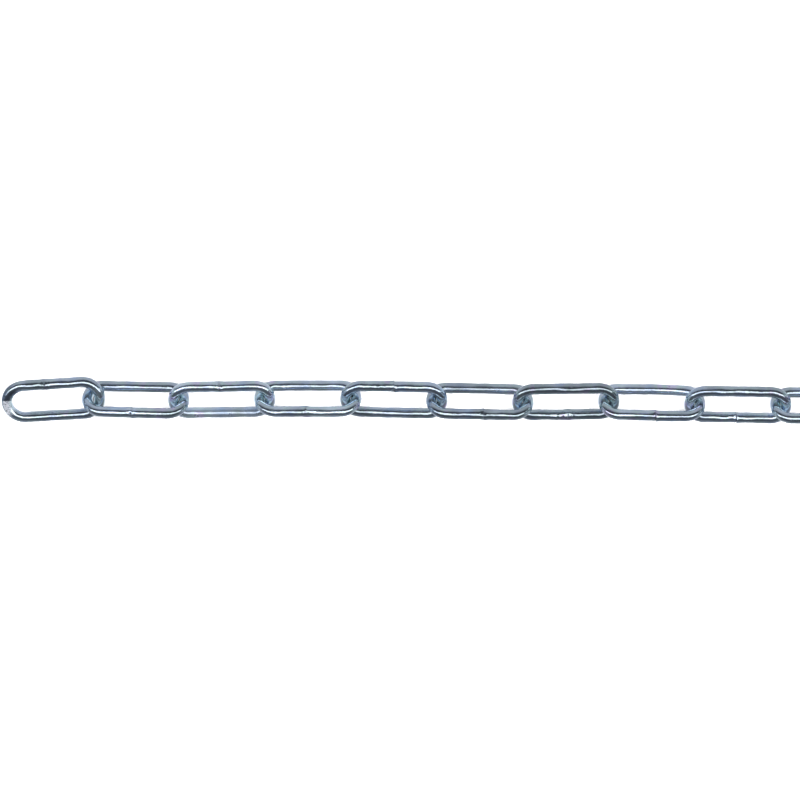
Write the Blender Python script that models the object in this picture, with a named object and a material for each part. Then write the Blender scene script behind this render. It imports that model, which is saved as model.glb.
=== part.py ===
"""Long-link welded steel chain, one metre, laid out straight on a level floor.

Every link is one loop of round wire. The links lie on one edge each and lean to alternate
sides, and the first link, the free end, lies nearly flat. Units are metres, +Z is up, +X runs
along the chain and the floor is at z = 0.
"""
import math

import bmesh
import bpy
from mathutils import Matrix, Vector

# Driving dimensions of a standard link
WIRE = 0.004
PITCH = 0.032
OUTER_WIDTH = 0.016
LINK_COUNT = 31

# Where two bows bear on each other, the model leaves this gap
SEAT_GAP = 0.0003

# A link laid on its edge leans this far out of level
LEAN = math.radians(36.8)

# Turns of the first links about the vertical, positive anticlockwise seen from above.
# The links after them lie straight.
SEEN_TURNS = [math.radians(turn) for turn in (3.8, -1.2, 1.1, 0.1, -1.2, -1.2, 0.6, -1.5, -1.2)]

# The free end link is a little shorter and wider than the rest and lies nearly flat. The
# middle of its bow lies this far, along its own length and width, from the wire it hangs on.
END_INNER_LENGTH = 0.0310
END_OUTER_WIDTH = 0.0168
END_ROLL = math.radians(24.5)
END_LIFT = math.radians(2.42)
END_BOW_OFFSET = Vector((-0.0014, 0.0005, 0))

# The link in the middle of the chain carries its two neighbours, and they carry the next ones
MIDDLE_LINK = 16

# Flat stretches that stand for a half-circle bow. An odd number puts one across its top.
BOW_FLATS = 7

# Bluish bright zinc plating
ZINC_COLOUR = (0.60, 0.64, 0.69, 1.0)
ZINC_ROUGHNESS = 0.25

# Sizes that follow from the driving dimensions
WIRE_RADIUS = WIRE / 2
INNER_LENGTH = PITCH + SEAT_GAP
WIRE_REACH = INNER_LENGTH / 2 + WIRE_RADIUS
HINGE_REACH = INNER_LENGTH / 2 - WIRE_RADIUS - SEAT_GAP
END_STRAIGHT = END_INNER_LENGTH - END_OUTER_WIDTH + 2 * WIRE
REST_HEIGHT = (OUTER_WIDTH / 2 - WIRE_RADIUS) * math.sin(LEAN) + WIRE_RADIUS


def clear_scene():
    """Empties the scene of the objects it opens with."""
    for thing in list(bpy.data.objects):
        bpy.data.objects.remove(thing, do_unlink=True)


def zinc_steel():
    """Bright zinc plating on steel wire."""
    material = bpy.data.materials.new("zinc_plated_steel")
    material.use_nodes = True
    shader = material.node_tree.nodes["Principled BSDF"]
    shader.inputs["Base Color"].default_value = ZINC_COLOUR
    shader.inputs["Metallic"].default_value = 1.0
    shader.inputs["Roughness"].default_value = ZINC_ROUGHNESS
    return material


def wire_section():
    """Corners of the wire's twelve-sided section, as pairs of outward and upward distance.

    Its flats touch the true circle. One faces straight out of the loop, one straight in, and
    one on each side faces the floor when the link leans.
    """
    floor_side = math.pi / 2 - LEAN
    quarter = [0.0, floor_side / 2, floor_side, math.pi / 2]
    half = quarter + [math.pi - angle for angle in quarter[2:0:-1]]
    flats = half + [math.pi + angle for angle in half]
    corners = []
    for angle, after in zip(flats, flats[1:] + [2 * math.pi]):
        reach = WIRE_RADIUS / math.cos((after - angle) / 2)
        turn = (angle + after) / 2
        corners.append((reach * math.cos(turn), reach * math.sin(turn)))
    return corners


def link_mesh(name, inner_length, outer_width, middle):
    """One loop of wire, with its middle this far along X from its hinge, which is the origin.

    A ring of the section is spun through a bow, carried along the straight side, spun through
    the other bow and carried back to its start. The rings stand at the mitres between the
    flats, so the flats touch the true bow.
    """
    bow = outer_width / 2 - WIRE_RADIUS
    straight = inner_length - outer_width + 2 * WIRE
    flat_turn = math.pi / (BOW_FLATS + 1)
    stretch = 1 / math.cos(flat_turn / 2)
    along = Vector((straight, 0, 0))
    up = Vector((0, 0, 1))

    shape = bmesh.new()
    ring = [
        shape.verts.new(((bow + outward) * stretch, 0, height))
        for outward, height in wire_section()
    ]
    edges = [shape.edges.new((ring[index - 1], ring[index])) for index in range(len(ring))]
    centre = along / 2
    first_mitre = (flat_turn - math.pi) / 2
    bmesh.ops.rotate(shape, verts=ring, cent=(0, 0, 0), matrix=Matrix.Rotation(first_mitre, 3, "Z"))
    bmesh.ops.translate(shape, verts=ring, vec=centre)
    for way in (1, -1):
        spun = bmesh.ops.spin(
            shape, geom=ring + edges, cent=centre * way, axis=up,
            angle=BOW_FLATS * flat_turn, steps=BOW_FLATS, use_merge=False,
        )["geom_last"]
        edges = [item for item in spun if isinstance(item, bmesh.types.BMEdge)]
        side = bmesh.ops.extrude_edge_only(shape, edges=edges)["geom"]
        ring = [item for item in side if isinstance(item, bmesh.types.BMVert)]
        edges = [item for item in side if isinstance(item, bmesh.types.BMEdge) and
                 all(corner in ring for corner in item.verts)]
        bmesh.ops.rotate(
            shape, verts=ring, cent=centre * way, matrix=Matrix.Rotation(flat_turn, 3, "Z"))
        bmesh.ops.translate(shape, verts=ring, vec=-way * along)
    bmesh.ops.remove_doubles(shape, verts=shape.verts, dist=WIRE / 1000)
    bmesh.ops.translate(shape, verts=shape.verts, vec=(middle, 0, 0))
    bmesh.ops.recalc_face_normals(shape, faces=shape.faces)

    mesh = bpy.data.meshes.new(name)
    shape.to_mesh(mesh)
    shape.free()
    mesh.shade_smooth()
    return mesh


def link_turn(number):
    """How far the link is turned about the vertical."""
    return SEEN_TURNS[number - 1] if number <= len(SEEN_TURNS) else 0.0


def link_rotation(number):
    """The link's turn, lift and lean. Odd links lean one way and even links the other."""
    if number == 1:
        lean, lift = END_ROLL, END_LIFT
    else:
        lean, lift = LEAN if number % 2 else -LEAN, 0.0
    return (Matrix.Rotation(link_turn(number), 4, "Z")
            @ Matrix.Rotation(-lift, 4, "Y")
            @ Matrix.Rotation(lean, 4, "X"))


def hinge_points():
    """The point that each link hangs on: the middle of its neighbour's bow wire.

    The walk starts at the middle link and goes to both ends. The middle link hangs on
    nothing, so its point is where its left neighbour's wire passes through it.
    """
    points = {MIDDLE_LINK: Vector((-HINGE_REACH, 0, REST_HEIGHT))}
    for way, numbers in ((1, range(MIDDLE_LINK + 1, LINK_COUNT + 1)), (-1, range(MIDDLE_LINK - 1, 0, -1))):
        middle = Vector((0, 0, REST_HEIGHT))
        for number in numbers:
            towards = Vector((way, 0, 0))
            carrier = link_turn(number - way)
            points[number] = middle + Matrix.Rotation(carrier, 3, "Z") @ towards * WIRE_REACH
            own = Matrix.Rotation(link_turn(number), 3, "Z")
            middle = points[number] + own @ towards * HINGE_REACH
    return points


def floor_middle(links):
    """The middle of the floor area that the links cover."""
    corners = [link.matrix_basis @ corner.co for link in links for corner in link.data.vertices]
    middle = Vector((0, 0, 0))
    for axis in (0, 1):
        middle[axis] = (min(c[axis] for c in corners) + max(c[axis] for c in corners)) / 2
    return middle


def build_chain():
    """Makes the links and sets the middle of the ground they cover at the origin."""
    finish = zinc_steel()
    meshes = {
        "right": link_mesh("link_right", INNER_LENGTH, OUTER_WIDTH, HINGE_REACH),
        "left": link_mesh("link_left", INNER_LENGTH, OUTER_WIDTH, -HINGE_REACH),
        "end": link_mesh("link_end", END_INNER_LENGTH, END_OUTER_WIDTH, -END_STRAIGHT / 2),
    }
    for mesh in meshes.values():
        mesh.materials.append(finish)
    points = hinge_points()
    links = []
    for number in range(1, LINK_COUNT + 1):
        kind = "end" if number == 1 else "left" if number < MIDDLE_LINK else "right"
        link = bpy.data.objects.new(f"link_{number:02d}", meshes[kind])
        bpy.context.scene.collection.objects.link(link)
        rotation = link_rotation(number)
        if number == 1:
            points[number] += rotation.to_3x3() @ END_BOW_OFFSET
        link.matrix_basis = Matrix.Translation(points[number]) @ rotation
        links.append(link)
    shift = floor_middle(links)
    for link in links:
        link.location -= shift


clear_scene()
build_chain()
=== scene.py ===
"""Looks of one metre of bright zinc-plated long-link chain, laid straight on a pale floor."""

import math

import bmesh
import bpy
from mathutils import Matrix, Vector, noise


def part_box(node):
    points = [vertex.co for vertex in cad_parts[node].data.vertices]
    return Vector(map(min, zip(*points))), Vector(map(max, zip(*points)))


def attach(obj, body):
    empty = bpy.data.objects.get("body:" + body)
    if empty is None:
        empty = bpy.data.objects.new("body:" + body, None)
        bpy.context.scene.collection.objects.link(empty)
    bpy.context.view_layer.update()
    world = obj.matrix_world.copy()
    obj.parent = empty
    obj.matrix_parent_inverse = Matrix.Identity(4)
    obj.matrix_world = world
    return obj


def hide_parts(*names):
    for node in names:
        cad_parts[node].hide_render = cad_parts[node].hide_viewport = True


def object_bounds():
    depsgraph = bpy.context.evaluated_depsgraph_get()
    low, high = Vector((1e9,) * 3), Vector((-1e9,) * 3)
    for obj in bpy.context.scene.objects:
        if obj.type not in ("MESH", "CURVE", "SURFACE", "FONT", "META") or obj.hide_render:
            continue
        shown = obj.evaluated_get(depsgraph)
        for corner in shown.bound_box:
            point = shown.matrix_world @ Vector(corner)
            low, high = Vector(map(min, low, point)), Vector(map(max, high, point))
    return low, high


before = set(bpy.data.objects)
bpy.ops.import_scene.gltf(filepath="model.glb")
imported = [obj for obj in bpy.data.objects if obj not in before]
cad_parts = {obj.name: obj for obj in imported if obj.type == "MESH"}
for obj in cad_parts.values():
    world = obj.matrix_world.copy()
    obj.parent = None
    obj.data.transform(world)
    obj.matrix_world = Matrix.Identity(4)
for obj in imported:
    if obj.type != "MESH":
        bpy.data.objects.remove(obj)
cad_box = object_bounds()

# Sizes of the chain, as the frame's links have them
WIRE_RADIUS = 0.002
BOW = 0.006
STRAIGHT = 0.0243
END_BOW = 0.0064
END_STRAIGHT = 0.0222
LEAN = math.radians(36.8)
END_ROLL = math.radians(24.5)
END_LIFT = math.radians(2.42)
SEEN_TURNS = [math.radians(turn) for turn in (3.8, -1.2, 1.1, 0.1, -1.2, -1.2, 0.6, -1.5, -1.2)]
LINK_COUNT = 31

# Odd links have their +Y side raised and even links their -Y side. A link is welded in the
# middle of its raised side, but for these, which lie with the weld down.
WELD_DOWN = (7, 9)

# Fineness of the wire's mesh: finer steps within reach of the weld
SECTION_SIDES = 40
BOW_STEPS = 30
SIDE_STEP = 0.0005
FINE_STEP = 0.00015
FINE_REACH = 0.0062

# Corners of the mesh closer together than this are one
SAME_CORNER = WIRE_RADIUS / 500

# Rings closest to the weld, by their distance from it
WELD_RINGS = (0.00006, 0.00012, 0.0002, 0.0003, 0.00042, 0.00056, 0.00072, 0.0009, 0.0011)

# The butt weld: a fine nick between two swollen wire ends, with lumps on them. Each is uneven
# round the wire, and the nick is partly filled where the wire faces the far side.
NICK_WIDTH = 0.00013
NICK_REACH = 4 * NICK_WIDTH
NICK_UNEVEN = 1.3
NICK_SHALLOWEST = 0.3
NICK_FILLED = 0.8
NICK_FILLED_FACING = (0.05, 0.40)
UPSET_HEIGHT = 0.00014
UPSET_WIDTH = 0.0013
UPSET_UNEVEN = 1.2
UNEVEN_FINENESS = 1.4
ROUGH_HEIGHT = 0.00012
ROUGH_WIDTH = 0.0016
ROUGH_FINENESS = 2.6
ROUGH_LENGTH = 0.0006
END_STEP_FADE = 0.006

# How far along X each weld lies from the middle of its side, how deep its nick is, and how far
# its right wire end lies on the near side of its left one
WELDS = {
    1: (-0.0024, 0.00036, 0.00008),
    2: (-0.0011, 0.00004, 0.00022),
    3: (-0.0006, 0.00005, 0.00004),
    4: (-0.0005, 0.00004, 0.00006),
    5: (0.0001, 0.00004, 0.00042),
    6: (0.0014, 0.00005, 0.00026),
    7: (0.00085, 0.00022, 0.00004),
    8: (0.00125, 0.00026, 0.00040),
    9: (-0.0002, 0.00042, 0.00040),
    12: (0.0008, 0.00020, 0.00016),
    15: (-0.0010, 0.00030, 0.00030),
    19: (0.0005, 0.00004, 0.00022),
    22: (-0.0015, 0.00036, 0.00012),
    26: (0.0009, 0.00005, 0.00034),
    30: (-0.0006, 0.00030, 0.00020),
}
PLAIN_WELD = (0.0, 0.00016, 0.00016)
DEEP_NICK = 0.0003

# Specks and dents in the zinc, most of them beside the welds: how far along X from the link's
# middle, on its near (-1) or far (1) side, how far off the wire's top towards the far side, how
# high and how wide
SPECKS = {
    2: ((-0.0017, -1, -0.15, -0.00006, 0.0005), (-0.0004, -1, -0.12, -0.00005, 0.0004)),
    3: ((-0.0006, 1, -0.30, -0.00007, 0.0006), (0.0003, 1, -0.50, 0.00010, 0.0004)),
    4: ((-0.0011, -1, 0.05, -0.00006, 0.0005), (0.0025, -1, -0.12, -0.00004, 0.0008),
        (-0.0006, -1, 0.80, 0.00028, 0.0006)),
    5: ((-0.0071, 1, -0.05, -0.00006, 0.0005), (-0.0060, 1, 0.12, -0.00004, 0.0004),
        (-0.0046, 1, 0.14, 0.00004, 0.0004), (-0.0033, 1, 0.10, -0.00004, 0.0004),
        (-0.0024, 1, -0.25, -0.00008, 0.0008), (-0.0004, 1, -0.60, 0.00010, 0.0003),
        (0.0003, 1, -0.75, -0.00016, 0.0005), (0.0008, 1, -0.50, 0.00014, 0.0003),
        (0.0014, 1, -0.70, -0.00012, 0.0004), (0.0012, 1, -0.10, -0.00005, 0.0005)),
    6: ((0.0001, -1, -0.08, -0.00009, 0.0004), (0.0012, -1, -0.08, -0.00010, 0.0004),
        (0.0020, -1, -0.20, 0.00014, 0.0003), (0.0006, -1, 0.80, 0.00005, 0.0003)),
    7: ((-0.0054, -1, -0.12, -0.00009, 0.00035), (-0.0045, -1, -0.10, -0.00008, 0.0003),
        (-0.0037, -1, -0.12, -0.00009, 0.00035), (-0.0029, -1, -0.12, 0.00012, 0.0003),
        (-0.0021, -1, -0.14, -0.00007, 0.0004), (-0.0009, -1, -0.30, -0.00013, 0.0006),
        (0.0014, -1, -0.10, -0.00007, 0.0005), (0.0030, -1, -0.05, 0.00016, 0.0003),
        (0.0019, 1, 0.50, -0.00028, 0.00035), (0.0013, 1, 0.50, 0.00020, 0.00025),
        (0.0025, 1, 0.50, 0.00020, 0.00025), (0.0008, 1, -0.15, 0.00012, 0.0004),
        (-0.0108, 1, -0.40, -0.00007, 0.00035), (-0.0098, 1, -0.35, -0.00007, 0.00035),
        (-0.0088, 1, -0.45, -0.00008, 0.00035), (-0.0077, 1, -0.35, -0.00007, 0.00035),
        (-0.0067, 1, -0.45, -0.00008, 0.00035), (-0.0057, 1, -0.40, -0.00007, 0.00035),
        (-0.0047, 1, -0.35, -0.00006, 0.00035), (-0.0030, 1, -0.15, -0.00004, 0.0005)),
    9: ((-0.0009, -1, 0.10, -0.00007, 0.0005), (-0.0024, -1, -0.60, -0.00010, 0.0010),
        (-0.0029, -1, 0.45, 0.00012, 0.0005)),
}

# A speck is shaped as far as this many times its width
SPECK_REACH = 3

# Small unevenness of drawn and bent wire: sides not quite straight, a section not quite round,
# and wire swollen on the inside of its bows. It fades where a neighbour bears on the bow.
WAVER = 0.00016
WAVER_LENGTH = 0.013
WAVER_SEED = 1
DENT = 0.00012
DENT_LENGTH = 0.0042
DENT_ROUND = 0.9
BOW_SWELL = 0.00011
SEAT_REACH = 0.0042

# What the finish follows on each link's wire, with the kind of its values: the place outward and
# upward in shares of the wire's radius and round the loop from the weld, the distance from the
# weld, the depth in its nick, the share of a bow, how dull the zinc is, and the painted light and
# shade that makes each side lighter or darker
MARKS = {
    "wire_place": ("FLOAT_VECTOR", "vector"),
    "weld_distance": ("FLOAT", "value"),
    "weld_nick": ("FLOAT", "value"),
    "bow_bend": ("FLOAT", "value"),
    "dullness": ("FLOAT", "value"),
    "painted_light": ("FLOAT", "value"),
}

# Steps from link to link through the noise, so that no two links are uneven alike
SHAPE_SEED_STEP = 3.7
SIDE_SEED_STEP = 1.7
SIDE_SEEDS = (0.3, 7.3)

# How much rougher the zinc is on each link's far and near side, where the photograph shows it,
# and about how much on the other links
DULL_SIDES = {
    1: (0.0, 0.0), 2: (0.03, 0.05), 3: (0.05, 0.17), 4: (0.06, 0.07), 5: (0.01, 0.07),
    6: (0.11, 0.02), 7: (0.08, 0.06), 8: (0.06, 0.02), 9: (0.0, 0.02), 10: (0.03, 0.03),
}
DULLNESS = 0.05
DULL_SPREAD = 0.10

# How much painted light and shade makes each link's far and near side lighter or darker, partly
# for how each side catches the room and partly the zinc's own tone, in the same way
PAINTED_LIGHT_SIDES = {
    1: (1.0, 1.04), 2: (1.06, 1.09), 3: (1.24, 1.07), 4: (1.08, 1.27), 5: (0.99, 1.12),
    6: (0.90, 0.93), 7: (0.80, 0.90), 8: (1.19, 1.12), 9: (0.97, 1.10), 10: (0.95, 1.05),
}
PAINTED_LIGHT = 1.03
PAINTED_LIGHT_SPREAD = 0.25
PAINTED_LIGHT_SEED = 20

# The marks on the free end link's outer bow. The whitish patch on its near side is a painted
# highlight: a bright light mirrored round the bow, laid on as whitish, duller and less metallic
# zinc.
# The dark mark on its far side and along its outer rim is painted shade, a dark reflection painted
# on.
# A pair is where a mark fades out and where it is full, or the other way about. The ends are
# distances round the loop from the weld, and the starts are distances along Y from the patch's top.
# The outside, the inside and the rim are places across the wire, in shares of its radius.
MARKS_RIGHT_X = -0.4890
PATCH_TOP_Y = -0.0003
PATCH_EDGE = 0.00012
PATCH_END = (0.0228, 0.0246)
PATCH_END_RAGGED = 0.0010
PATCH_OUTSIDE = (0.68, 0.86)
PATCH_OUTSIDE_RAGGED = 0.3
PATCH_INSIDE = (-0.95, -0.30)
PATCH_INSIDE_SHARE = 0.45
PATCH_ROUGHER = 0.36
PATCH_LESS_METAL = 0.20
PAINTED_SHADE_SHARE = 0.75
PAINTED_SHADE_START = (0.0042, 0.0030)
PAINTED_SHADE_RIM = (0.70, 0.84)
PAINTED_SHADE_RIM_START = (0.0070, 0.0050)
PAINTED_SHADE_RIM_END = (0.0270, 0.0250)

# Colours of the zinc. The tints are those of its passivation, from one noise level to the next.
TINTS = (
    (0.30, (0.50, 0.62, 0.80)), (0.44, (0.56, 0.64, 0.76)), (0.56, (0.54, 0.66, 0.70)),
    (0.68, (0.60, 0.59, 0.78)))
WELD_COLOUR = (0.42, 0.47, 0.53)
# Painted shade at the bottom of the weld's nick
NICK_SHADE_COLOUR = (0.10, 0.12, 0.15)
PIT_COLOUR = (0.12, 0.14, 0.17)
RUB_COLOUR = (0.52, 0.66, 0.67)
# A painted highlight, whitish, on the free end's outer bow
PAINTED_HIGHLIGHT_COLOUR = (0.86, 0.86, 0.94)
# Painted shade, a dark reflection painted on the free end's outer bow
PAINTED_SHADE_COLOUR = (0.15, 0.18, 0.26)

# How light the passivation's clouds are, and how much of a pit, a speck on the painted highlight
# or the painted shade in the nick shows, each from one noise level to another
CLOUD_LEVELS = (0.3, 0.7)
CLOUD_LIGHT = (0.78, 1.16)
PIT_LEVELS = (0.70, 0.78)
PIT_SHARE = 0.4
HIGHLIGHT_SPECKLE_LEVELS = (0.38, 0.62)
HIGHLIGHT_SPECKLE_SHARE = (0.5, 1.0)

# The finish's noise patterns: how many repeats a metre, and how many finer layers
TINT_NOISE = (170, 3)
CLOUD_NOISE = (90, 2)
GRAIN_NOISE = (900, 2)
PIT_NOISE = (1900, 1)
HIGHLIGHT_SPECKLE_NOISE = (1500, 2)
GLOSS_NOISE = (420, 3)
PEEL_NOISES = ((330, 2), (800, 2))

# The heat-dulled zone at the weld, and the painted shade at the bottom of the nick
WELD_ZONE = (0.0006, 0.0012)
WELD_RAGGED = 0.0008
WELD_DARKER = 0.25
WELD_ROUGHER = 0.05
NICK_SHADE_LEVELS = (0.25, 0.9)
NICK_SHADE_SHARE = 0.75

# Where links rub inside their bows: from a bow's sides to its top, and across the wire
RUB_BEND = (0.45, 0.85)
RUB_ACROSS = (0.5, -0.4)
RUB_STREAKS = (0.42, 0.60)
RUB_FAINTEST = 0.05
RUB_SHARE = 0.6
RUB_LESS_METAL = 0.065

# Roughness of the bright zinc, before its dullness. Bows are smoother than sides, and the dullest
# side is hazy.
GLOSS = (0.05, 0.22)
SMOOTH_BEND = (0.2, 0.8)
BOW_SMOOTHNESS = 0.35
HAZE_DULLNESS = (0.10, 0.17)
HAZE_LESS_METAL = 0.04

# Two noise patterns that follow the wire, the streaks of the rub marks and the fine lines of
# drawing, and how much the places across the wire and along it are stretched for them
STREAK_NOISE = (2.6, 1)
STREAK_STRETCH = (1, 1, 100)
DRAWN_NOISE = (2.2, 4)
DRAWN_STRETCH = (6, 6, 60)

# Strength and height of the fine lines and of the two sizes of orange peel
DRAWN_BUMP = (0.25, 0.00006)
PEEL_BUMPS = ((0.6, 0.00012), (0.6, 0.00007))

# How bright the room is that the metal mirrors, by the angle in degrees from straight up
# round the chain's length: negative towards the near side, positive towards the far side. Its
# dark parts are bluer.
ROOM_BRIGHTNESS = (
    (-180, 1.0), (-163, 0.95), (-148, 0.52), (-130, 0.35), (-108, 0.28), (-92, 0.20),
    (-75, 0.12), (-57, 0.075), (-44, 0.12), (-30, 0.17), (0, 0.16), (8, 0.09), (24, 0.050),
    (34, 0.12), (42, 0.30), (52, 0.45), (71, 0.55), (97, 0.54), (130, 0.58), (148, 0.62),
    (163, 0.95), (180, 1.0))
ROOM_TINT = (0.97, 1.0, 1.06)
ROOM_DARK_TINT = (0.87, 1.0, 1.2)
ROOM_DARK_BELOW = 0.25

# The room's two ends along the chain, patchy, and how far along X a direction has to point to
# see them
ROOM_ENDS = (((0.76, 0.93), (0.38, 0.43, 0.45)), ((-0.76, -0.93), (0.29, 0.33, 0.36)))
ROOM_PATCH_NOISE = (5.5, 2)
ROOM_PATCH_LEVELS = (0.44, 0.56)
ROOM_PATCH_LIGHT = (0.12, 2.4)

# The strip light that the metal mirrors, and the two lights that whiten the floor
STRIP_PLACE = (-0.5, -0.26, 1.1)
STRIP_SIZE = (3.4, 0.42)
STRIP_POWER = 9.2
WASH_PLACES = (-1.5, 0.8)
WASH_HEIGHT = 2.2
WASH_SIZE = (0.7, 0.8)
WASH_AIM = (-0.35, 0, 0)
WASH_POWER = 100

FLOOR_COLOUR = (0.86, 0.86, 0.86)
FLOOR_ROUGHNESS = 0.9
FLOOR_HALF = 6

# The photograph's frame. The free end is this far right of its left edge.
PHOTO_SIDE_PX = 800
PX_PER_METRE = 2685
FREE_END_PX = 1.2
CAMERA_LENS_MM = 150
CAMERA_SENSOR_MM = 36
CAMERA_REACH = 50


def link_name(number):
    return f"link_{number:02d}"


def link_rotation(number):
    """The turn, lift and lean of a link, as it lies in the frame."""
    turn = SEEN_TURNS[number - 1] if number <= len(SEEN_TURNS) else 0.0
    if number == 1:
        lean, lift = END_ROLL, END_LIFT
    else:
        lean, lift = LEAN if number % 2 else -LEAN, 0.0
    return (Matrix.Rotation(turn, 4, "Z")
            @ Matrix.Rotation(-lift, 4, "Y")
            @ Matrix.Rotation(lean, 4, "X"))


def lying_rotation(number, turned):
    """A link's rotation in the frame, after a half turn where its weld goes on the +Y side."""
    return link_rotation(number) @ Matrix.Rotation(math.pi if turned else 0.0, 4, "Z")


def link_middle(number):
    """The middle of a link's box, and so of the link, as a loop is the same both ways round."""
    low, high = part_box(link_name(number))
    return (low + high) / 2


def parts_of(items, kind):
    return [item for item in items if isinstance(item, kind)]


def carry_ring(shape, edges, distances, way):
    """Extrudes the ring along X to each of these distances in turn. Returns its new edges."""
    last = 0.0
    for distance in distances:
        made = bmesh.ops.extrude_edge_only(shape, edges=edges)["geom"]
        ring = parts_of(made, bmesh.types.BMVert)
        edges = [edge for edge in parts_of(made, bmesh.types.BMEdge)
                 if all(corner in ring for corner in edge.verts)]
        bmesh.ops.translate(shape, verts=ring, vec=((distance - last) * way, 0, 0))
        last = distance
    return edges


def bend_ring(shape, edges, centre):
    """Spins the ring through a bow. Returns its new edges."""
    corners = list(dict.fromkeys(corner for edge in edges for corner in edge.verts))
    spun = bmesh.ops.spin(
        shape, geom=corners + edges, cent=centre, axis=(0, 0, 1),
        angle=math.pi, steps=BOW_STEPS, use_merge=False)["geom_last"]
    return parts_of(spun, bmesh.types.BMEdge)


def steps_from_weld(half):
    """Distances of the rings from the weld to the end of its straight side."""
    places = list(WELD_RINGS)
    while places[-1] + SIDE_STEP < half:
        places.append(places[-1] + (FINE_STEP if places[-1] < FINE_REACH else SIDE_STEP))
    return places + [half]


def wire_loop(straight, bow, weld_x):
    """A loop of round wire that starts and ends at its weld, on its -Y side."""
    half = straight / 2
    leaving = steps_from_weld(half - weld_x)
    side = half + weld_x
    coming = [side - distance for distance in reversed(steps_from_weld(side)[:-1])] + [side]
    side_steps = round(straight / SIDE_STEP)
    whole = [straight * step / side_steps for step in range(1, side_steps + 1)]

    shape = bmesh.new()
    ring = bmesh.ops.create_circle(
        shape, cap_ends=False, segments=SECTION_SIDES, radius=WIRE_RADIUS)["verts"]
    bmesh.ops.rotate(shape, verts=ring, cent=(0, 0, 0), matrix=Matrix.Rotation(math.pi / 2, 3, "Y"))
    bmesh.ops.translate(shape, verts=ring, vec=(weld_x, -bow, 0))
    edges = carry_ring(shape, list(shape.edges), leaving, 1)
    edges = bend_ring(shape, edges, (half, 0, 0))
    edges = carry_ring(shape, edges, whole, -1)
    edges = bend_ring(shape, edges, (-half, 0, 0))
    carry_ring(shape, edges, coming, 1)
    bmesh.ops.remove_doubles(shape, verts=shape.verts, dist=SAME_CORNER)
    bmesh.ops.recalc_face_normals(shape, faces=shape.faces)
    return shape


def wire_length(straight, bow):
    return 2 * straight + 2 * math.pi * bow


def place_on_wire(point, straight, bow, weld_x):
    """Where a point lies on the wire: outward from its middle line, how far round the loop from
    the weld, how much of a bow's turn it is from the sides, and the outward direction there."""
    half = straight / 2
    past_side = abs(point.x) - half
    if past_side <= 0:
        out = Vector((0, math.copysign(1, point.y), 0))
        outward = abs(point.y) - bow
        if point.y > 0:
            travelled = half - weld_x + math.pi * bow + half - point.x
        else:
            travelled = point.x - weld_x
        bent = 0.0
    else:
        reach = math.hypot(past_side, point.y)
        out = Vector((math.copysign(past_side, point.x) / reach, point.y / reach, 0))
        outward = reach - bow
        turned = math.atan2(past_side, -point.y)
        travelled = half + turned * bow
        travelled = travelled - weld_x if point.x > 0 else -travelled - weld_x
        bent = math.sin(turned)
    return outward, travelled % wire_length(straight, bow), bent, out


def bell(distance, width):
    return math.exp(-((distance / width) ** 2))


def unfilled_nick(faced):
    """How much of the nick is left where the wire faces this way."""
    start, full = NICK_FILLED_FACING
    return 1 - NICK_FILLED * min(1.0, max(0.0, (faced.y - start) / (full - start)))


def weld_height(past_weld, round_way, nick_depth, seed):
    """How far the wire stands out or in near its weld, which is uneven round the wire."""
    across = Vector((*round_way, 0))
    uneven = noise.noise(across * UNEVEN_FINENESS + Vector((0, 0, seed)))
    share = max(NICK_SHALLOWEST, 1 + NICK_UNEVEN * uneven)
    nick = -nick_depth * share * bell(past_weld, NICK_WIDTH)
    upset = UPSET_HEIGHT * (1 - UPSET_UNEVEN * uneven) * bell(past_weld, UPSET_WIDTH)
    lumps = noise.noise(
        across * ROUGH_FINENESS + Vector((0, 0, seed + past_weld / ROUGH_LENGTH)))
    return nick + upset + ROUGH_HEIGHT * lumps * bell(past_weld, ROUGH_WIDTH)


def dent_height(middle, round_way, seed):
    """How far the wire stands out or in from the shallow dents all over it."""
    return DENT * noise.noise(Vector((
        middle.x / DENT_LENGTH,
        middle.y / DENT_LENGTH + round_way[0] * DENT_ROUND,
        round_way[1] * DENT_ROUND + seed)))


def speck_middles(bow, number, turned):
    """Middles of a link's specks, on the upper side of its wire as it lies, with their height and
    width."""
    way = -1 if turned else 1
    lying = link_rotation(number).to_3x3().inverted()
    found = []
    for along, side, tilt, height, width in SPECKS.get(number, ()):
        top = lying @ Vector((0, tilt, 1)).normalized() * WIRE_RADIUS
        middle = Vector((along, side * bow, 0)) + top
        found.append((Vector((middle.x * way, middle.y * way, middle.z)), height, width))
    return found


def two_sides(number, seen, usual, spread, seed=0):
    """A value for a link's far and near side: the seen one, or one that differs from the usual."""
    return seen.get(number) or [
        usual + spread * noise.noise(Vector((SIDE_SEED_STEP * number, side + seed, 0)))
        for side in SIDE_SEEDS]


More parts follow.
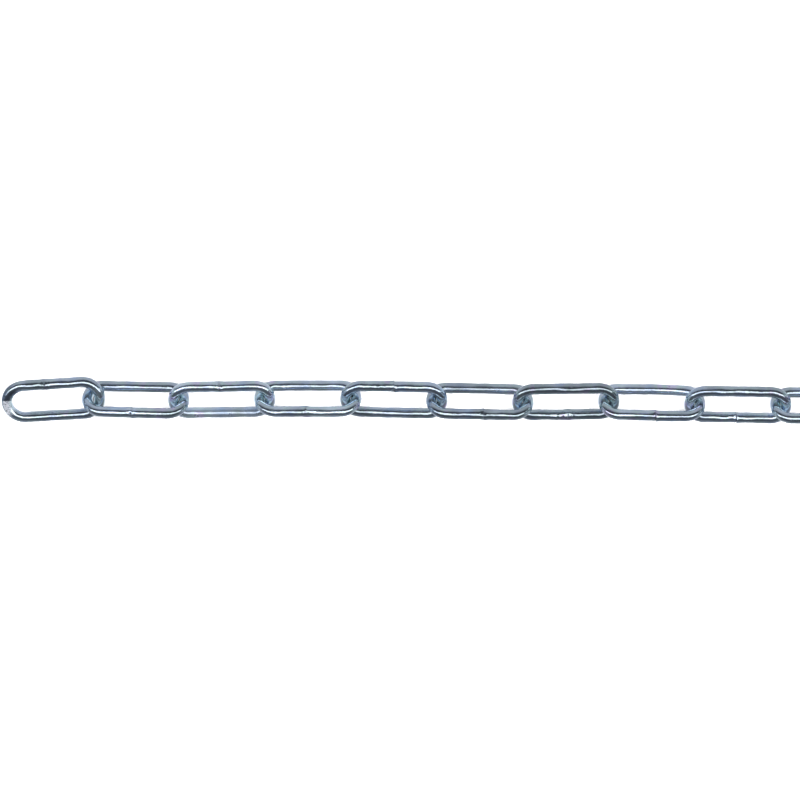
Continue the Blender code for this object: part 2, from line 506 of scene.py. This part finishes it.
def shape_wire(shape, straight, bow, weld_x, number, turned):
    """Gives the plain loop its weld and the small unevenness of bent wire. Returns the marks for
    the finish to follow: lists of values, one for each corner."""
    marks = {name: [] for name in MARKS}
    # Each side's dullness, and the painted light and shade that makes each side lighter or darker
    sides = {
        "dullness": two_sides(number, DULL_SIDES, DULLNESS, DULL_SPREAD),
        "painted_light": two_sides(number, PAINTED_LIGHT_SIDES, PAINTED_LIGHT, PAINTED_LIGHT_SPREAD, PAINTED_LIGHT_SEED)}
    lying = lying_rotation(number, turned).to_3x3()
    seed = SHAPE_SEED_STEP * number
    _, nick_depth, end_step = WELDS.get(number, PLAIN_WELD)
    specks = speck_middles(bow, number, turned)
    whole_way = wire_length(straight, bow)
    up = Vector((0, 0, 1))
    apex = straight / 2 + bow
    for corner in shape.verts:
        outward, travelled, bent, out = place_on_wire(corner.co, straight, bow, weld_x)
        past_weld = travelled if travelled < whole_way / 2 else travelled - whole_way
        round_way = (outward / WIRE_RADIUS, corner.co.z / WIRE_RADIUS)
        section = out * outward + up * corner.co.z
        middle = corner.co - section
        depth = nick_depth
        if abs(past_weld) < NICK_REACH:
            depth *= unfilled_nick(lying @ section.normalized())
        far_share = min(1.0, max(0.0, 0.5 + (lying @ middle).y / bow))
        marks["wire_place"].extend((*round_way, travelled))
        marks["weld_distance"].append(abs(past_weld))
        marks["weld_nick"].append(depth / DEEP_NICK * bell(past_weld, NICK_WIDTH))
        marks["bow_bend"].append(bent)
        for name, (far, near) in sides.items():
            marks[name].append(near + (far - near) * far_share)
        # Where the neighbour bears, the wire keeps its true shape
        from_seat = math.hypot(abs(middle.x) - apex, middle.y)
        free = 1 - bell(from_seat, SEAT_REACH)
        grow = weld_height(past_weld, round_way, depth, seed)
        grow += dent_height(middle, round_way, seed) * free
        grow -= BOW_SWELL * bent * round_way[0]
        for speck, height, width in specks:
            away = (corner.co - speck).length
            if away < SPECK_REACH * width:
                grow += height * bell(away, width)
        sway = noise.noise_vector(middle / WAVER_LENGTH + Vector((0, seed, 0))) * WAVER * free
        if abs(past_weld) < END_STEP_FADE:
            fade = 1 - abs(past_weld) / END_STEP_FADE
            sway += out * end_step / 2 * math.copysign(fade * fade, past_weld)
        corner.co = middle + section.normalized() * (WIRE_RADIUS + grow) + sway
    return marks


def make_link(number, finish):
    """One link with its place in its mesh, standing for the frame's link."""
    straight, bow = (END_STRAIGHT, END_BOW) if number == 1 else (STRAIGHT, BOW)
    weld_up = number not in WELD_DOWN
    raised_is_far = number % 2 == 1
    turned = weld_up == raised_is_far
    weld_x = WELDS.get(number, PLAIN_WELD)[0] * (-1 if turned else 1)
    shape = wire_loop(straight, bow, weld_x)
    marks = shape_wire(shape, straight, bow, weld_x, number, turned)
    stand = Matrix.Translation(link_middle(number)) @ lying_rotation(number, turned)
    bmesh.ops.transform(shape, matrix=stand, verts=shape.verts)
    mesh = bpy.data.meshes.new("wire_" + link_name(number))
    shape.to_mesh(mesh)
    shape.free()
    mesh.shade_smooth()
    for name, (kind, key) in MARKS.items():
        mesh.attributes.new(name, kind, "POINT").data.foreach_set(key, marks[name])
    mesh.materials.append(finish)
    piece = bpy.data.objects.new("wire_" + link_name(number), mesh)
    bpy.context.scene.collection.objects.link(piece)
    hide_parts(link_name(number))
    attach(piece, link_name(number))
    return piece


def add_node(tree, kind, **settings):
    node = tree.nodes.new(kind)
    for name, value in settings.items():
        setattr(node, name, value)
    return node


def split_vector(tree, vector):
    """The X, Y and Z of a vector."""
    node = add_node(tree, "ShaderNodeSeparateXYZ")
    tree.links.new(vector, node.inputs["Vector"])
    return node.outputs


def texture_noise(tree, vector, pattern):
    """Grey noise on these coordinates. A pattern is its repeats and its finer layers."""
    node = add_node(tree, "ShaderNodeTexNoise")
    node.inputs["Scale"].default_value, node.inputs["Detail"].default_value = pattern
    tree.links.new(vector, node.inputs["Vector"])
    return node.outputs["Fac"]


def set_ramp(ramp, stops):
    """Gives a colour ramp these stops, each a position and a colour."""
    while len(ramp.elements) > 1:
        ramp.elements.remove(ramp.elements[0])
    for index, (position, colour) in enumerate(stops):
        stop = ramp.elements[0] if index == 0 else ramp.elements.new(position)
        stop.position = position
        stop.color = (*colour, 1)


def map_range(tree, value, from_range, to_range=(0.0, 1.0)):
    """The value carried from one range into another and held inside it."""
    node = add_node(tree, "ShaderNodeMapRange")
    node.inputs["From Min"].default_value, node.inputs["From Max"].default_value = from_range
    node.inputs["To Min"].default_value, node.inputs["To Max"].default_value = to_range
    tree.links.new(value, node.inputs["Value"])
    return node.outputs["Result"]


def calculate(tree, operation, *values):
    """A sum on values that are numbers or other nodes' outputs."""
    node = add_node(tree, "ShaderNodeMath", operation=operation)
    for socket, value in zip(node.inputs, values):
        if isinstance(value, bpy.types.NodeSocket):
            tree.links.new(value, socket)
        else:
            socket.default_value = value
    return node.outputs["Value"]


def mix_colour(tree, factor, first, second, blend="MIX"):
    """Two colours, each a triple or another node's output, mixed by the factor."""
    node = add_node(tree, "ShaderNodeMix", data_type="RGBA", blend_type=blend)
    for name, value in (("Factor", factor), ("A", first), ("B", second)):
        socket = node.inputs[name]
        if isinstance(value, bpy.types.NodeSocket):
            tree.links.new(value, socket)
        elif isinstance(value, tuple):
            socket.default_value = (*value, 1)
        else:
            socket.default_value = value
    return node.outputs["Result"]


def add_bump(tree, height, strength, distance, after=None):
    node = add_node(tree, "ShaderNodeBump")
    node.inputs["Strength"].default_value = strength
    node.inputs["Distance"].default_value = distance
    tree.links.new(height, node.inputs["Height"])
    if after:
        tree.links.new(after, node.inputs["Normal"])
    return node.outputs["Normal"]


def finish_places(tree):
    """The outputs that the finish follows: the place in space and the marks on the wire."""
    places = {"place": add_node(tree, "ShaderNodeTexCoord").outputs["Object"]}
    for name in MARKS:
        node = add_node(tree, "ShaderNodeAttribute", attribute_name=name)
        places[name] = node.outputs["Vector" if name == "wire_place" else "Fac"]
    places["x"], places["y"], _ = split_vector(tree, places["place"])
    places["outward"], _, places["round"] = split_vector(tree, places["wire_place"])
    places["grain"] = texture_noise(tree, places["place"], GRAIN_NOISE)
    return places


def wire_noise(tree, wire_place, pattern, stretch):
    """Grey noise that follows the wire, finer across it or along it as the stretch says."""
    node = add_node(tree, "ShaderNodeMapping")
    node.inputs["Scale"].default_value = stretch
    tree.links.new(wire_place, node.inputs["Vector"])
    return texture_noise(tree, node.outputs["Vector"], pattern)


def product(tree, *values):
    """All the values multiplied."""
    result = values[0]
    for value in values[1:]:
        result = calculate(tree, "MULTIPLY", result, value)
    return result


def bare_zinc(tree, places):
    """Patches of violet, blue and green in the passivation, and painted light and shade by side."""
    tints = add_node(tree, "ShaderNodeValToRGB")
    set_ramp(tints.color_ramp, TINTS)
    tree.links.new(texture_noise(tree, places["place"], TINT_NOISE), tints.inputs["Fac"])
    cloud = texture_noise(tree, places["place"], CLOUD_NOISE)
    cloud = map_range(tree, cloud, CLOUD_LEVELS, CLOUD_LIGHT)
    body = mix_colour(tree, 1.0, tints.outputs["Color"], cloud, "MULTIPLY")
    # Painted light and shade: each side of a link is made lighter or darker
    return mix_colour(tree, 1.0, body, places["painted_light"], "MULTIPLY")


def weld_zone(tree, places):
    """The share of the weld's heat-dulled zone, broken up at its edges."""
    ragged = calculate(tree, "MULTIPLY_ADD", places["grain"], WELD_RAGGED, places["weld_distance"])
    return map_range(tree, ragged, WELD_ZONE, (1.0, 0.0))


def end_painted_highlight(tree, places, left):
    """The share of the painted highlight, a whitish patch on the free end's outer bow."""
    above = map_range(tree, places["y"], (PATCH_TOP_Y - PATCH_EDGE, PATCH_TOP_Y), (1.0, 0.0))
    ragged = calculate(tree, "MULTIPLY_ADD", places["grain"], PATCH_END_RAGGED, places["round"])
    before_end = map_range(tree, ragged, PATCH_END, (1.0, 0.0))
    ragged = calculate(
        tree, "MULTIPLY_ADD", places["grain"], PATCH_OUTSIDE_RAGGED, places["outward"])
    outside = map_range(tree, ragged, PATCH_OUTSIDE, (1.0, 0.0))
    inside = map_range(tree, places["outward"], PATCH_INSIDE, (PATCH_INSIDE_SHARE, 1.0))
    highlight_speckle = texture_noise(tree, places["place"], HIGHLIGHT_SPECKLE_NOISE)
    highlight_speckle = map_range(tree, highlight_speckle, HIGHLIGHT_SPECKLE_LEVELS, HIGHLIGHT_SPECKLE_SHARE)
    return product(tree, above, left, before_end, outside, inside, highlight_speckle)


def end_painted_shade(tree, places, left):
    """The share of the painted shade beyond the painted highlight and along the bow's outer rim."""
    starts, rim_starts = (
        map_range(tree, places["y"], [PATCH_TOP_Y + reach for reach in reaches])
        for reaches in (PAINTED_SHADE_START, PAINTED_SHADE_RIM_START))
    ends = map_range(
        tree, places["y"], (PATCH_TOP_Y - PATCH_EDGE, PATCH_TOP_Y), (0.0, PAINTED_SHADE_SHARE))
    rim = map_range(tree, places["outward"], PAINTED_SHADE_RIM, (0.0, PAINTED_SHADE_SHARE))
    rim_ends = map_range(tree, places["round"], PAINTED_SHADE_RIM_END)
    painted_shade = calculate(
        tree, "MAXIMUM", product(tree, starts, ends), product(tree, rim, rim_starts, rim_ends))
    return product(tree, painted_shade, left)


def rub_marks(tree, places):
    """The share of the streaks inside a bow, where its neighbour rubs on it."""
    streaks = wire_noise(tree, places["wire_place"], STREAK_NOISE, STREAK_STRETCH)
    return product(
        tree, map_range(tree, streaks, RUB_STREAKS, (RUB_FAINTEST, 1.0)),
        map_range(tree, places["bow_bend"], RUB_BEND),
        map_range(tree, places["outward"], RUB_ACROSS))


def surface_bumps(tree, places):
    """Fine lines along the drawn wire, and the plating's faint orange peel."""
    lines = wire_noise(tree, places["wire_place"], DRAWN_NOISE, DRAWN_STRETCH)
    bumps = add_bump(tree, lines, *DRAWN_BUMP)
    for pattern, bump in zip(PEEL_NOISES, PEEL_BUMPS):
        bumps = add_bump(tree, texture_noise(tree, places["place"], pattern), *bump, bumps)
    return bumps


def zinc_finish():
    """Bright bluish zinc plating over drawn wire, dull where it was welded and on one patch that
    carries a painted highlight, with painted shade in the nick and beside the patch, and painted
    light and shade by side.
    """
    material = bpy.data.materials.new("bright_zinc")
    material.use_nodes = True
    tree = material.node_tree
    shader = tree.nodes["Principled BSDF"]
    places = finish_places(tree)
    left = calculate(tree, "LESS_THAN", places["x"], MARKS_RIGHT_X)

    near_weld = weld_zone(tree, places)
    # Painted shade in the weld's nick, darker where the nick is deeper
    nick = map_range(tree, places["weld_nick"], NICK_SHADE_LEVELS, (0.0, NICK_SHADE_SHARE))
    pits = texture_noise(tree, places["place"], PIT_NOISE)
    pits = map_range(tree, pits, PIT_LEVELS, (0.0, PIT_SHARE))
    # A painted highlight on the free end's outer bow, made duller and less metallic below
    painted_highlight = end_painted_highlight(tree, places, left)
    rubbed = rub_marks(tree, places)

    body = bare_zinc(tree, places)
    for share, colour in (
            (product(tree, near_weld, WELD_DARKER), WELD_COLOUR),
            (nick, NICK_SHADE_COLOUR),
            (pits, PIT_COLOUR),
            (painted_highlight, PAINTED_HIGHLIGHT_COLOUR),
            # Painted shade beside the painted highlight and along the free end's outer rim
            (end_painted_shade(tree, places, left), PAINTED_SHADE_COLOUR),
            (product(tree, rubbed, RUB_SHARE), RUB_COLOUR)):
        body = mix_colour(tree, share, body, colour)
    tree.links.new(body, shader.inputs["Base Color"])

    metal = calculate(tree, "MULTIPLY_ADD", painted_highlight, -PATCH_LESS_METAL, 1.0)
    metal = calculate(tree, "MULTIPLY_ADD", rubbed, -RUB_LESS_METAL, metal)
    haze = map_range(tree, places["dullness"], HAZE_DULLNESS, (0.0, HAZE_LESS_METAL))
    tree.links.new(calculate(tree, "SUBTRACT", metal, haze), shader.inputs["Metallic"])

    gloss = map_range(
        tree, texture_noise(tree, places["place"], GLOSS_NOISE), (0.0, 1.0), GLOSS)
    gloss = calculate(tree, "ADD", gloss, places["dullness"])
    smooth = map_range(tree, places["bow_bend"], SMOOTH_BEND, (1.0, BOW_SMOOTHNESS))
    gloss = product(tree, gloss, smooth)
    gloss = calculate(tree, "MULTIPLY_ADD", near_weld, WELD_ROUGHER, gloss)
    gloss = calculate(tree, "MULTIPLY_ADD", painted_highlight, PATCH_ROUGHER, gloss)
    tree.links.new(gloss, shader.inputs["Roughness"])
    tree.links.new(surface_bumps(tree, places), shader.inputs["Normal"])
    return material


def pale_floor():
    material = bpy.data.materials.new("pale_floor")
    material.use_nodes = True
    shader = material.node_tree.nodes["Principled BSDF"]
    shader.inputs["Base Color"].default_value = (*FLOOR_COLOUR, 1)
    shader.inputs["Roughness"].default_value = FLOOR_ROUGHNESS
    return material


def lay_floor():
    """A wide pale floor under the chain, which the metal doesn't mirror."""
    shape = bmesh.new()
    bmesh.ops.create_grid(shape, x_segments=1, y_segments=1, size=FLOOR_HALF)
    mesh = bpy.data.meshes.new("floor")
    shape.to_mesh(mesh)
    shape.free()
    mesh.materials.append(pale_floor())
    floor = bpy.data.objects.new("floor", mesh)
    floor.visible_glossy = False
    bpy.context.scene.collection.objects.link(floor)


def strip_light(name, place, aim, size, power):
    """A rectangular soft light of this length along X and this width."""
    light = bpy.data.lights.new(name, "AREA")
    light.shape = "RECTANGLE"
    light.size, light.size_y = size
    light.energy = power
    lamp = bpy.data.objects.new(name, light)
    lamp.location = place
    lamp.rotation_euler = (Vector(aim) - Vector(place)).to_track_quat("-Z", "Y").to_euler()
    lamp.visible_camera = False
    bpy.context.scene.collection.objects.link(lamp)
    return lamp


def room_colour(brightness):
    """The room's colour where it is this bright."""
    light = min(1.0, brightness / ROOM_DARK_BELOW)
    return tuple(brightness * (dark * (1 - light) + pale * light)
                 for dark, pale in zip(ROOM_DARK_TINT, ROOM_TINT))


def light_room():
    """The dim room that the metal mirrors: darkest overhead and on the near side, lighter on the
    far side and below, with patchy ends."""
    world = bpy.data.worlds.new("room")
    world.use_nodes = True
    tree = world.node_tree
    direction = add_node(tree, "ShaderNodeTexCoord").outputs["Generated"]
    along, across, up = split_vector(tree, direction)
    turn = calculate(tree, "ARCTAN2", across, up)
    walls = add_node(tree, "ShaderNodeValToRGB")
    set_ramp(walls.color_ramp, [
        (0.5 + degrees / 360, room_colour(light)) for degrees, light in ROOM_BRIGHTNESS])
    tree.links.new(map_range(tree, turn, (-math.pi, math.pi)), walls.inputs["Fac"])
    patches = texture_noise(tree, direction, ROOM_PATCH_NOISE)
    patches = map_range(tree, patches, ROOM_PATCH_LEVELS, ROOM_PATCH_LIGHT)
    room = walls.outputs["Color"]
    for reach, colour in ROOM_ENDS:
        end_colour = mix_colour(tree, 1.0, colour, patches, "MULTIPLY")
        room = mix_colour(tree, map_range(tree, along, reach), room, end_colour)
    tree.links.new(room, tree.nodes["Background"].inputs["Color"])
    bpy.context.scene.world = world


def light_scene():
    """A long strip light a little on the near side of the chain, which the metal mirrors, and two
    beyond the chain's ends that it doesn't mirror and that whiten the floor."""
    light_room()
    strip_light("strip", STRIP_PLACE, (STRIP_PLACE[0], 0, 0), STRIP_SIZE, STRIP_POWER)
    for along in WASH_PLACES:
        place = (along, 0, WASH_HEIGHT)
        wash = strip_light("floor_wash", place, WASH_AIM, WASH_SIZE, WASH_POWER)
        wash.visible_glossy = False
    bpy.context.scene.view_settings.view_transform = "Standard"


def set_camera():
    """Looks straight down on the free end, as in the photograph."""
    camera = bpy.data.cameras.new("camera")
    camera.lens = CAMERA_LENS_MM
    camera.sensor_width = CAMERA_SENSOR_MM
    camera.clip_end = CAMERA_REACH
    eye = bpy.data.objects.new("camera", camera)
    free_end_x = cad_box[0][0]
    middle_x = free_end_x + (PHOTO_SIDE_PX / 2 - FREE_END_PX) / PX_PER_METRE
    away = PHOTO_SIDE_PX / PX_PER_METRE * CAMERA_LENS_MM / CAMERA_SENSOR_MM
    eye.location = (middle_x, 0, away + 2 * WIRE_RADIUS)
    bpy.context.scene.collection.objects.link(eye)
    bpy.context.scene.camera = eye


noise.seed_set(WAVER_SEED)
finish = zinc_finish()
for number in range(1, LINK_COUNT + 1):
    make_link(number, finish)
lay_floor()
light_scene()
set_camera()
